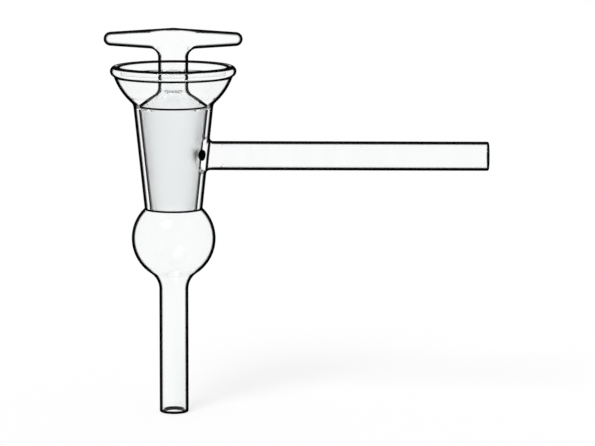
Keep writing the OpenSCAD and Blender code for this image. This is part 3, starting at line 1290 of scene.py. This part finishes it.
    def dark(self) -> bpy.types.Node:
        """Adds the unlit black that is painted as shade where glass would bend light away, and over
        the port's dark oval.
        """
        return self.feed(
            self.add("ShaderNodeBsdfPrincipled"),
            Base_Color=(0.004, 0.004, 0.004, 1),
            Roughness=1.0,
            Specular_IOR_Level=0.0,
        )

    def mixed(self, share: object, first: bpy.types.Node, second: bpy.types.Node) -> bpy.types.Node:
        """Mixes two shaders."""
        node = self.add("ShaderNodeMixShader")
        return self.feed(node, n0=share, n1=first.outputs[0], n2=second.outputs[0])

    def opened(self, windows: "tuple[Oval, ...]", shader: bpy.types.Node) -> bpy.types.Node:
        """Lets light pass straight through a shader in the windows, and nowhere else."""
        for window in windows:
            film = self.feed(self.add("ShaderNodeBsdfTransparent"), Color=(0.99, 0.99, 0.99, 1))
            shader = self.mixed(window.mask(self), shader, film)
        return shader

    def close(self, shader: bpy.types.Node) -> bpy.types.Material:
        """Links the shader to the output and gives the material."""
        self.tree.links.new(shader.outputs[0], self.output.inputs["Surface"])
        return self.material


@dataclass(frozen=True)
class Crease:
    """A ring of painted shade in one plane, where two walls meet or a tube ends, in millimetres.

    It lies across an axis at a level and has a width. With a half it is no longer than that on
    either side of its middle height, and follows a wall that leans. One that shows through lies
    on the inside of the wall too.
    """

    axis: Axis
    level: float
    width: float
    lean: float = 0.0
    middle: float = 0.0
    half: float = 0.0
    through: bool = False

    def mask(self, nodes: Nodes) -> bpy.types.NodeSocket:
        """Gives 1 in the ring and 0 beside it."""
        off = nodes.height(self.axis, self.level)
        if self.half:
            up = nodes.height(Axis.Z, self.middle)
            off = nodes.sum("MULTIPLY_ADD", up, -self.lean, off)
        away = nodes.sum("ABSOLUTE", off)
        if self.half:
            beyond = nodes.sum("SUBTRACT", nodes.sum("ABSOLUTE", up), self.half)
            away = nodes.sum("MULTIPLY_ADD", nodes.sum("MAXIMUM", beyond, 0.0), 4.0, away)
        return nodes.rest(nodes.ramp(away, self.width * 0.35, self.width * 0.6))


@dataclass(frozen=True)
class Oval:
    """An upright oval seen from the front, right through the glass, in millimetres.

    It has a middle, half its width across and half its height up. With a rise it climbs the
    glass in front of and behind the axis.
    """

    middle: Spot
    across: float
    up: float
    rise: float = 0.0

    def mask(self, nodes: Nodes) -> bpy.types.NodeSocket:
        """Gives 1 in the oval and 0 outside it."""
        aside = nodes.sum("DIVIDE", nodes.height(Axis.X, self.middle[0]), self.across)
        off = nodes.height(Axis.Z, self.middle[1])
        if self.rise:
            deep = nodes.sum("ABSOLUTE", nodes.height(Axis.Y, 0))
            off = nodes.sum("MULTIPLY_ADD", deep, -self.rise, off)
        off = nodes.sum("DIVIDE", off, self.up)
        square = nodes.sum("MULTIPLY_ADD", aside, aside, nodes.sum("MULTIPLY", off, off))
        return nodes.rest(nodes.ramp(square, 0.88, 1.12))


@dataclass(frozen=True)
class ClearGlass:
    """Fire-polished borosilicate glass, with painted shade standing in for the dark edges that it
    shows on a pale ground.
    """

    name: str
    creases: tuple[Crease, ...] = ()
    windows: tuple[Oval, ...] = ()
    body: Colour = (0.985, 0.992, 0.992, 1)
    drawn: Colour = (0.968, 0.98, 0.98, 1)

    def material(self) -> bpy.types.Material:
        """Makes the finish."""
        nodes = Nodes(self.name)
        streak = nodes.ramp(nodes.noise((260, 260, 40)), 0.35, 0.7)
        polished = nodes.glass(nodes.blend(streak, self.body, self.drawn), Roughness=0.0)
        polished = nodes.opened(self.windows, polished)
        return nodes.close(nodes.mixed(nodes.dark_edge(self.creases), polished, nodes.dark()))


@dataclass(frozen=True)
class GroundGlass:
    """Glass ground matt on a lathe, in fine marks that run round the joint."""

    name: str
    spot: Oval
    body: Colour
    mark: Colour
    roughness: float
    transmission: float
    grind: float
    creases: tuple[Crease, ...] = ()
    windows: tuple[Oval, ...] = ()
    edge: float = 0.0

    def material(self) -> bpy.types.Material:
        """Makes the finish."""
        nodes = Nodes(self.name)
        marks = nodes.noise((90, 90, 2600), detail=3.0)
        cloud = nodes.noise((240, 240, 160))
        depth = nodes.sum("MULTIPLY_ADD", marks, 0.7, nodes.sum("MULTIPLY", cloud, 0.3))
        bump = nodes.add("ShaderNodeBump")
        nodes.feed(bump, Strength=self.grind, Distance=0.03 * METRES, Height=depth)
        matt = nodes.glass(
            nodes.blend(nodes.ramp(depth, 0.4, 0.62), self.body, self.mark),
            Roughness=self.roughness,
            Transmission_Weight=self.transmission,
            Normal=bump.outputs[0],
        )
        dark = nodes.dark_edge(self.creases)
        if self.edge:
            dark = nodes.sum("MAXIMUM", dark, nodes.bore_edge(self.edge))
        joint = nodes.opened(self.windows, nodes.mixed(dark, matt, nodes.dark()))
        # painted shade: the port's dark oval is painted black over the ground glass round the port
        return nodes.close(nodes.mixed(self.spot.mask(nodes), joint, nodes.dark()))


@dataclass(frozen=True)
class PortWall:
    """The drilled wall of the port, clear but for the dark oval of painted shade that stands for the
    port's hollow.
    """

    name: str
    spot: Oval
    windows: tuple[Oval, ...] = ()
    body: Colour = (0.97, 0.975, 0.975, 1)
    mark: Colour = (0.93, 0.935, 0.935, 1)

    def material(self) -> bpy.types.Material:
        """Makes the finish."""
        nodes = Nodes(self.name)
        grain = nodes.noise((900, 900, 900))
        drilled = nodes.glass(nodes.blend(grain, self.body, self.mark), Roughness=0.02)
        drilled = nodes.opened(self.windows, drilled)
        # painted shade: the port's dark oval is painted black over the drilled wall
        return nodes.close(nodes.mixed(self.spot.mask(nodes), drilled, nodes.dark()))


# ------------------------------------------------------------------- studio


@dataclass
class Studio:
    """A plain pale floor and soft light, with the camera in front of the object."""

    distance: float = 1.1
    aside: float = 0.0421
    height: float = 0.2284
    pitch: float = 8.392
    roll: float = 0.15
    lens: float = 195.9
    floor_size: float = 12.0
    floor_gap: float = 0.00005
    floor_grey: float = 0.3
    floor_glow: float = 0.7
    mirrored: float = 0.3
    room: float = 0.6
    lamp_power: float = 1.7
    lamp_spread: float = 24.0
    lamp_lean: float = 38.0
    lamp_side: float = -22.0

    def build(self) -> None:
        """Sets up floor, world, lamp, camera and the plain view."""
        self._floor()
        self._world()
        self._lamp()
        self._camera()
        scene = bpy.context.scene
        scene.view_settings.view_transform = "Standard"
        scene.cycles.max_bounces = 64
        scene.cycles.transmission_bounces = 48
        scene.cycles.glossy_bounces = 48
        scene.cycles.transparent_max_bounces = 32

    def _seen(self, nodes: Nodes) -> bpy.types.NodeSocket:
        """Gives 1 for rays that look straight or through glass, and less for mirrored ones."""
        path = nodes.add("ShaderNodeLightPath").outputs
        direct = nodes.sum("MAXIMUM", path["Is Camera Ray"], path["Is Transmission Ray"])
        mirrored = nodes.sum("MULTIPLY", path["Is Glossy Ray"], self.mirrored)
        return nodes.sum("MAXIMUM", direct, mirrored)

    def _floor(self) -> None:
        """Lays the pale floor, which keeps the shadow."""
        bpy.ops.object.select_all(action="DESELECT")
        bpy.ops.mesh.primitive_plane_add(size=self.floor_size, location=(0, 0, -self.floor_gap))
        floor = bpy.context.object
        floor.name = "studio_floor"
        bpy.ops.object.transform_apply(location=True)
        nodes = Nodes("pale_floor")
        matt = nodes.add("ShaderNodeBsdfDiffuse")
        nodes.feed(matt, Color=(self.floor_grey,) * 3 + (1,))
        strength = nodes.sum("MULTIPLY", self._seen(nodes), self.floor_glow)
        glow = nodes.feed(nodes.add("ShaderNodeEmission"), Color=WHITE, Strength=strength)
        both = nodes.add("ShaderNodeAddShader")
        nodes.feed(both, n0=matt.outputs[0], n1=glow.outputs[0])
        floor.data.materials.append(nodes.close(both))

    def _world(self) -> None:
        """Makes the world white to the eye and a plain grey light on the object."""
        world = bpy.data.worlds.new("pale_room")
        bpy.context.scene.world = world
        world.use_nodes = True
        nodes = Nodes.over(world.node_tree)
        mirror = nodes.add("ShaderNodeLightPath").outputs["Is Glossy Ray"]
        level = nodes.sum("MULTIPLY_ADD", mirror, self.mirrored - self.room, self.room)
        level = nodes.sum("MAXIMUM", level, self._seen(nodes))
        nodes.feed(world.node_tree.nodes["Background"], Color=WHITE, Strength=level)

    def _lamp(self) -> None:
        """Hangs one broad lamp, so far off that it lights the whole floor evenly."""
        data = bpy.data.lights.new("softbox", "SUN")
        data.energy = self.lamp_power
        data.angle = math.radians(self.lamp_spread)
        lamp = self._hang("softbox", data)
        lamp.rotation_euler = (math.radians(self.lamp_lean), math.radians(self.lamp_side), 0)

    def _camera(self) -> None:
        """Sets the camera in front of the middle of the piece, a little above it."""
        data = bpy.data.cameras.new("camera")
        data.lens = self.lens
        camera = self._hang("camera", data)
        camera.location = (self.aside, -self.distance, self.height)
        camera.rotation_euler = (math.radians(90 - self.pitch), math.radians(-self.roll), 0)
        bpy.context.scene.camera = camera

    def _hang(self, name: str, data: bpy.types.ID) -> bpy.types.Object:
        """Puts a lamp or a camera into the scene."""
        thing = bpy.data.objects.new(name, data)
        bpy.context.scene.collection.objects.link(thing)
        return thing


# ------------------------------------------------------------------- assembly


def finish_barrel(barrel: Barrel) -> None:
    """Blows the barrel, gives it its finishes and hands it over."""
    spot, windows = barrel.joint.spot, barrel.windows
    seat = GroundGlass(
        "ground_seat",
        spot,
        body=(0.99, 0.995, 0.995, 1),
        mark=(0.975, 0.98, 0.98, 1),
        roughness=0.02,
        transmission=1.0,
        grind=0.02,
        windows=windows,
        edge=0.03,
    )
    finishes = {
        Zone.CLEAR: ClearGlass("barrel_glass", barrel.creases, windows).material(),
        Zone.GROUND: seat.material(),
        Zone.PORT: PortWall("seat_port", spot, windows).material(),
    }
    barrel.finish(barrel.build(), finishes)


def finish_plug(plug: Plug) -> None:
    """Blows the plug, gives it its finishes and hands it over."""
    spot = plug.joint.spot
    cone = GroundGlass(
        "ground_cone",
        spot,
        body=(0.995, 0.998, 1.0, 1),
        mark=(0.975, 0.985, 0.992, 1),
        roughness=0.4,
        transmission=0.96,
        grind=0.25,
        creases=plug.creases,
    )
    finishes = {
        Zone.CLEAR: ClearGlass("plug_glass", windows=plug.windows).material(),
        Zone.GROUND: cone.material(),
        Zone.PORT: PortWall("plug_port", spot).material(),
    }
    plug.finish(plug.build(), finishes)


def main() -> None:
    """Builds, dresses and lights the stopcock, and logs how many triangles each piece has."""
    logging.basicConfig(level=logging.INFO, format="%(name)s: %(message)s")
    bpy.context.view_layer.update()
    lead = Leading.read()
    joint = GroundJoint(lead.seat_z, lead.port_z)
    finish_barrel(Barrel(lead, joint))
    finish_plug(Plug(lead, joint))
    Studio().build()


if __name__ == "__main__":
    main()
